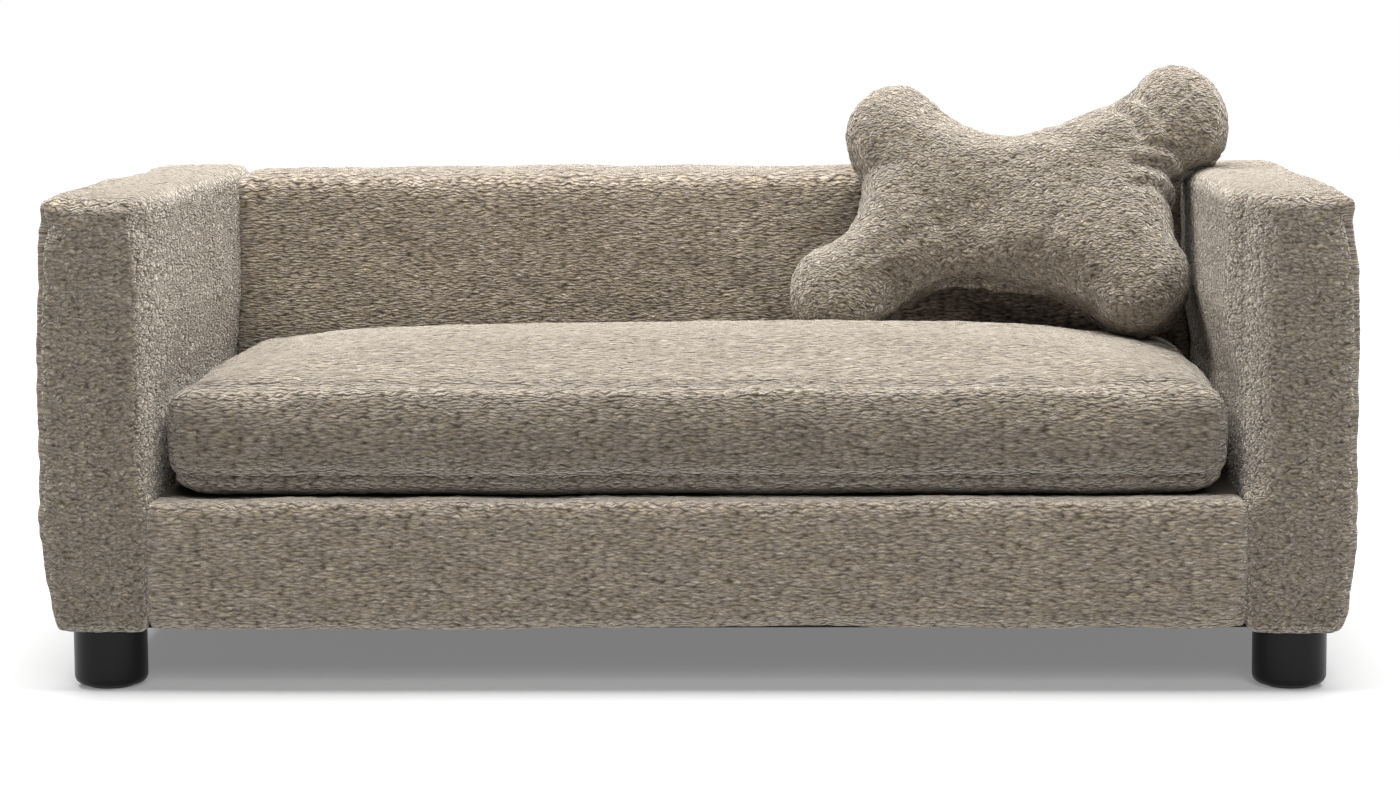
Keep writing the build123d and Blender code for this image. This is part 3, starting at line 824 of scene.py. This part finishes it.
mark_seams(cushion, to_seam + 0.5 * np.clip(to_rim - 0.028, 0, 0.05))
# Painted shade: the boxing and the roll under the lower seam are drawn darker.
under_roll = np.clip((LOWER_SEAM + 0.004 - points[:, 2]) / 0.012, 0, 1)
on_boxing = np.clip((UPPER_SEAM - points[:, 2]) / 0.006, 0, 1)
mark_painted_light(cushion, 1 - BOXING_SHADE * on_boxing * side - UNDER_SHADE * under_roll)
nap(cushion, 53)
zip_low, zip_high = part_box("zip_tape")
points = points_of(cushion)
zip_middle = (zip_low.z + zip_high.z) / 2
past_end = np.maximum(np.abs(points[:, 0]) - zip_high.x - 0.004, 0)
past_side = np.maximum(np.abs(points[:, 2] - zip_middle) - (zip_high.z - zip_low.z) / 2 - 0.002, 0)
flat_limit = zip_low.y - ZIP_GAP + 0.4 * (past_end + past_side)
points[:, 1] = np.minimum(points[:, 1], flat_limit)
move_to(cushion, points)
dress(cushion, cloth_across, "cushion", "chenille", "cushion_cover", "cushion_core")

top_points = points_of(cushion)
top_points = top_points[top_points[:, 2] > UPPER_SEAM]
seat_corner, seat_far = low.copy(), high.copy()


def seat_height_at(points, cell=0.008):
    """Height of the cushion's top under each point, from a grid of its highest points."""
    columns = int((seat_far.x - seat_corner.x) / cell) + 3
    rows = int((seat_far.y - seat_corner.y) / cell) + 3
    grid = np.full((columns, rows), UPPER_SEAM)

    def cell_of(spots):
        column = np.clip(((spots[:, 0] - seat_corner.x) / cell).astype(int), 0, columns - 1)
        row = np.clip(((spots[:, 1] - seat_corner.y) / cell).astype(int), 0, rows - 1)
        return column, row

    np.maximum.at(grid, cell_of(top_points), top_points[:, 2])
    return grid[cell_of(points)]


# %% [markdown]
# ## The bone pillow
# Two bone-shaped panels are sewn round their edge and stuffed with fibre. The shape starts from the fill's
# own solid, remeshed. It is worked on in the pillow's own plane, which leans on the back: along the bone, up
# it and out of its face. Each lobe has slumped a little from the pattern's shape.

# %% Bone pillow: the slumped shape
PILLOW_VOXEL = 0.0042
LEAN = math.radians(25)
YAW = math.radians(-6)
SLUMP_REACH = 0.055
WAIST_REACH = 0.075
WAIST_WIDENING = 0.008

fill_node = frame["nodes"]["pillow_fill"]
only(fill_node)
pillow = bpy.data.objects.new("bone_pillow", fill_node.data.copy())
scene.collection.objects.link(pillow)
only(pillow)
bpy.ops.object.mode_set(mode="EDIT")
bpy.ops.mesh.select_all(action="SELECT")
bpy.ops.mesh.remove_doubles(threshold=0.0001)
bpy.ops.object.mode_set(mode="OBJECT")
apply(pillow, "REMESH", mode="VOXEL", voxel_size=PILLOW_VOXEL)

along = np.array([math.cos(YAW), math.sin(YAW), 0.0])
face = np.array([math.sin(YAW) * math.cos(LEAN), -math.cos(YAW) * math.cos(LEAN), math.sin(LEAN)])
rise = np.cross(face, along)
pillow_axes = np.array([along, rise, face])
low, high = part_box("pillow_cover")
pillow_middle = np.array((low + high) / 2)


def on_pillow(points):
    """Points in the pillow's own plane: along it, up it and out of its face."""
    return (points - pillow_middle) @ pillow_axes.T


# Each row: a place on the pattern, and how far the cloth there has moved, in the pillow's own plane.
SLUMP = (
    ((-0.089, 0.061), (0.003, -0.020, 0.0)),
    ((0.131, 0.061), (-0.002, -0.006, 0.0)),
    ((0.089, -0.061), (0.015, -0.016, 0.014)),
    ((-0.131, -0.061), (0.009, -0.025, 0.006)),
    ((0.082, 0.078), (-0.006, 0.010, 0.0)),
    ((0.000, 0.050), (-0.008, -0.020, 0.0)),
    ((0.000, -0.050), (0.0, -0.012, 0.0)),
    ((0.110, 0.0), (0.022, -0.004, 0.0)),
    ((-0.058, 0.072), (0.010, -0.012, 0.0)),
    ((-0.110, 0.0), (0.002, -0.018, 0.0)),
)


def slump(own):
    """Moves points of the pillow as the lobes near them moved."""
    gaps = [(own[:, 0] - u) ** 2 + (own[:, 1] - v) ** 2 for (u, v), _ in SLUMP]
    weights = np.array([np.exp(-(gap / SLUMP_REACH**2)) for gap in gaps])
    moves = np.array([move for _, move in SLUMP])
    return own + (weights / (weights.sum(axis=0) + 1e-6)).T @ moves


own = on_pillow(points_of(pillow))
waist = np.exp(-((own[:, 0] / WAIST_REACH) ** 2))
own[:, 1] += waist * np.clip(own[:, 1] / 0.045, -1, 1) * WAIST_WIDENING
move_to(pillow, slump(own) @ pillow_axes + pillow_middle)
print(pillow.name, len(pillow.data.polygons), "squares before stuffing")

# %% [markdown]
# The cloth simulation fills the pillow while its edge seam is pinned, with a little slack in the cloth. The
# seam is then drawn in, save at the lower waist, where the seam's own edge hangs out below the body.

# %% Bone pillow: stuffing and seam
PILLOW_PRESSURE = 3.0
PILLOW_SWELL = 0.007
PILLOW_SLACK = 0.04
SEAM_DRAW = 0.0035
FLANGE_RISE = 0.0045
FLANGE_GROOVE = 0.0022
PILLOW_WAVE = 0.0025

own = on_pillow(points_of(pillow))
outward = normals_of(pillow) @ pillow_axes.T
seam_line = (np.abs(own[:, 2]) < 0.004) & (np.abs(outward[:, 2]) < 0.5)
stuff(pillow, seam_line, PILLOW_PRESSURE, PILLOW_SWELL, steps=14, slack=PILLOW_SLACK)
apply(pillow, "SUBSURF", levels=1, render_levels=1)
lay_weave(pillow, pillow_axes)
own = on_pillow(points_of(pillow))
outward = normals_of(pillow) @ pillow_axes.T
at_edge = np.exp(-((own[:, 2] / 0.0035) ** 2)) * (1 - np.abs(outward[:, 2]))
gathers = 1 + 0.6 * lattice_noise(points_of(pillow), 0.011, 71)
lower_waist = np.clip(1.4 - np.abs(own[:, 0] + 0.01) / 0.045, 0, 1) * np.clip(-own[:, 1] / 0.02, 0, 1)
flange = lower_waist * np.exp(-((own[:, 2] / 0.0026) ** 2)) * (1 - np.abs(outward[:, 2]))
beside = lower_waist * np.exp(-(((own[:, 2] - 0.0075) / 0.0032) ** 2))
push(
    pillow,
    -SEAM_DRAW * at_edge * gathers * (1 - lower_waist),
    FLANGE_RISE * flange * gathers - FLANGE_GROOVE * beside,
    PILLOW_WAVE * lattice_noise(points_of(pillow), 0.045, 73),
)


# %% [markdown]
# Soft creases are pressed where a lobe joins the body, and the lobes are flattened where they rest on the
# seat, which gives way a little under them.

# %% Bone pillow: creases and resting places
REST_SINK = 0.002
REST_EASE = 0.004


def crease(piece, start, end, depth, reach):
    """Presses a soft crease along a line given in the pillow's own plane, on its face."""
    own = on_pillow(points_of(piece))
    flat = own * (1, 1, 0)
    path = [(*start, 0.0), (*((np.array(start) + end) / 2 + 0.003), 0.0), (*end, 0.0)]
    gap = gap_to_path(flat, path)
    push(piece, np.where(own[:, 2] > 0, 1, 0.4) * -depth * np.exp(-((gap / reach) ** 2)))


# Each row: where a crease starts and ends, how deep it is and how far it spreads.
CREASES = (
    ((0.080, 0.062), (0.104, 0.034), 0.0050, 0.0042),
    ((0.092, 0.072), (0.118, 0.046), 0.0034, 0.0038),
    ((0.140, 0.002), (0.100, 0.010), 0.0060, 0.0048),
    ((0.134, -0.014), (0.098, -0.008), 0.0036, 0.0042),
    ((0.136, 0.018), (0.104, 0.026), 0.0034, 0.0038),
    ((-0.118, 0.006), (-0.082, 0.010), 0.0030, 0.0060),
    ((-0.040, -0.060), (-0.048, -0.034), 0.0025, 0.0045),
    ((0.030, -0.058), (0.042, -0.034), 0.0022, 0.0045),
)
for start, end, depth, reach in CREASES:
    crease(pillow, start, end, depth, reach)

points = points_of(pillow)
seat = seat_height_at(points) - REST_SINK
above = np.clip((points[:, 2] - seat - REST_EASE) / REST_EASE, -20, 0)
points[:, 2] = np.where(points[:, 2] < seat + REST_EASE, seat + REST_EASE * np.exp(above), points[:, 2])
move_to(pillow, points)
nap(pillow, 67, rumple=0.0010, lump=0.0008)
dress(pillow, cloth_swirled, "pillow", "chenille", "pillow_cover", "pillow_fill")

# %% [markdown]
# ## Thin cloths and the zip
# The deck cloth is stretched over the seat's board under the cushion, and the black dust cloth is stapled
# under the frame, where it sags a little between the timbers. Each is a grid with a millimetre of thickness.

# %% Deck cloth, its padding and the dust cloth
def thin_panel(name, low, high, across, deep, wave, size, seed, sag=0.0):
    """A closed thin panel: a grid of across by deep squares whose top lies at high.z, thickened downwards.
    Its waves are wave high and size across, and its middle hangs down by sag."""
    bpy.ops.object.select_all(action="DESELECT")
    bpy.ops.mesh.primitive_grid_add(x_subdivisions=across, y_subdivisions=deep, size=1)
    panel = bpy.context.object
    panel.name = panel.data.name = name
    panel.scale = (high.x - low.x, high.y - low.y, 1)
    panel.location = ((low.x + high.x) / 2, (low.y + high.y) / 2, high.z)
    bpy.ops.object.transform_apply(location=True, rotation=True, scale=True)
    points = points_of(panel)
    u = (points[:, 0] - low.x) / (high.x - low.x)
    v = (points[:, 1] - low.y) / (high.y - low.y)
    inside = np.clip(16 * u * (1 - u), 0, 1) * np.clip(16 * v * (1 - v), 0, 1)
    hang = sag * np.sin(np.pi * v) ** 0.7
    points[:, 2] += inside * (wave * lattice_noise(points, size, seed) - wave - hang)
    move_to(panel, points)
    apply(panel, "SOLIDIFY", thickness=high.z - low.z - 0.0003, offset=-1.0)
    lay_weave(panel)
    only(panel)
    bpy.ops.object.shade_smooth_by_angle(angle=math.radians(50))
    print(name, len(panel.data.polygons), "faces")
    return panel


low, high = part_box("deck_cloth")
deck_sheet = thin_panel("deck_cloth_panel", low, high, 150, 70, 0.00015, 0.05, 81)
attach(deck_sheet, "sofa")
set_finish(deck_sheet, "deck_cloth")
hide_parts("deck_cloth")

low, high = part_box("deck_pad")
deck_foam = thin_panel("deck_foam", low, high, 100, 50, 0.0001, 0.03, 83)
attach(deck_foam, "sofa")
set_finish(deck_foam, "foam")
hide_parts("deck_pad")

low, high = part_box("dust_cloth")
dust_sheet = thin_panel("dust_cloth_panel", low, high, 160, 90, 0.0003, 0.06, 87, sag=0.0018)
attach(dust_sheet, "sofa")
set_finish(dust_sheet, "dust_cloth")
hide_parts("dust_cloth")

# %% [markdown]
# The zip's coil is one small link, repeated at an even pitch along a woven tape. A link has only a few dozen
# faces, because there are hundreds of them.

# %% Zip tape and coil
COIL_PITCH = 0.0021
COIL_LINK = (0.0013, 0.0021, 0.0058)
COIL_BEVEL = 0.0005
TAPE_THICKNESS = 0.0008
TAPE_BEVEL = 0.0002

low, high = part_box("zip_tape")
coil_y = high.y - 0.0011
bpy.ops.object.select_all(action="DESELECT")
bpy.ops.mesh.primitive_cube_add(size=1, location=(low.x + COIL_PITCH, coil_y, (low.z + high.z) / 2))
coil = bpy.context.object
coil.scale = COIL_LINK
bpy.ops.object.transform_apply(location=True, rotation=True, scale=True)
apply(coil, "BEVEL", width=COIL_BEVEL, segments=2)
link_count = int((high.x - low.x - COIL_PITCH) / COIL_PITCH)
apply(
    coil,
    "ARRAY",
    count=link_count,
    use_relative_offset=False,
    use_constant_offset=True,
    constant_offset_displace=(COIL_PITCH, 0, 0),
)

bpy.ops.object.select_all(action="DESELECT")
tape_middle = ((low.x + high.x) / 2, low.y + TAPE_THICKNESS / 2, (low.z + high.z) / 2)
bpy.ops.mesh.primitive_cube_add(size=1, location=tape_middle)
tape = bpy.context.object
tape.name = tape.data.name = "zip"
tape.scale = (high.x - low.x, TAPE_THICKNESS, high.z - low.z)
bpy.ops.object.transform_apply(location=True, rotation=True, scale=True)
apply(tape, "BEVEL", width=TAPE_BEVEL, segments=2)
coil.select_set(True)
tape.select_set(True)
bpy.context.view_layer.objects.active = tape
bpy.ops.object.join()
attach(tape, "cushion")
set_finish(tape, "zip_tape")
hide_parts("zip_tape")
print("zip links", link_count)

# %% [markdown]
# ## Finishes of the frame's own parts
# The timber, the hardware, the legs and the zip keep their shapes and get their materials here.

# %% Finishes
def plain(name, tint, rough, grain, scale, along=(1, 1, 1), **constants):
    """A finish whose colour varies a little, with bumps of depth grain. along draws out both, for timber."""
    material, shader, place = new_material(name, Roughness=rough, **constants)
    cloud = place.node("ShaderNodeTexNoise", Vector=place.vector("MULTIPLY", along), Scale=scale, Detail=4.0)
    dark = tuple(0.7 * part for part in tint)
    relief = place.node("ShaderNodeBump", Strength=0.3, Distance=grain, Height=cloud)
    feed(shader, Base_Color=cloud.mix((*dark, 1.0), (*tint, 1.0)), Normal=relief)
    return material


finish_of = {part["node"]: part["material_slot"] for part in frame["record"]["subparts"]}
finishes = {
    "leg_black": plain("leg_black", colour(9, 9, 10), 0.36, 0.00002, 300.0, Specular_IOR_Level=0.22),
    "glide_plastic": plain("glide_plastic", colour(52, 50, 48), 0.6, 0.0001, 400.0),
    "zinc_steel": plain("zinc_steel", colour(186, 186, 180), 0.35, 0.00005, 500.0, Metallic=1.0),
    "zip_tape": plain("zip_tape", colour(110, 100, 88), 0.9, 0.0002, 900.0, (1, 1, 0.3)),
    "zip_metal": plain("zip_metal", colour(118, 108, 96), 0.4, 0.00005, 600.0, Metallic=0.6),
    "dust_cloth": plain("dust_cloth", colour(38, 38, 40), 0.95, 0.0003, 700.0),
    "deck_cloth": plain("deck_cloth", colour(84, 76, 66), 0.95, 0.0003, 700.0),
    "foam": plain("foam", colour(226, 216, 184), 0.9, 0.0005, 500.0),
    "fibre": plain("fibre", colour(236, 236, 232), 0.95, 0.001, 150.0),
    "pine": plain("pine", colour(208, 172, 124), 0.6, 0.0002, 240.0, (0.06, 1, 1)),
    "plywood": plain("plywood", colour(196, 162, 118), 0.65, 0.0002, 200.0, (0.08, 1, 1)),
    "hardboard": plain("hardboard", colour(122, 86, 58), 0.7, 0.0002, 300.0),
    "chenille": cloth_across,
}
for name, node in frame["nodes"].items():
    node.data.materials.clear()
    node.data.materials.append(finishes[finish_of[name]])
for piece in (deck_sheet, deck_foam, dust_sheet, tape):
    piece.data.materials.clear()
    piece.data.materials.append(finishes[piece["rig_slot"]])
print("finishes", sorted(finishes))
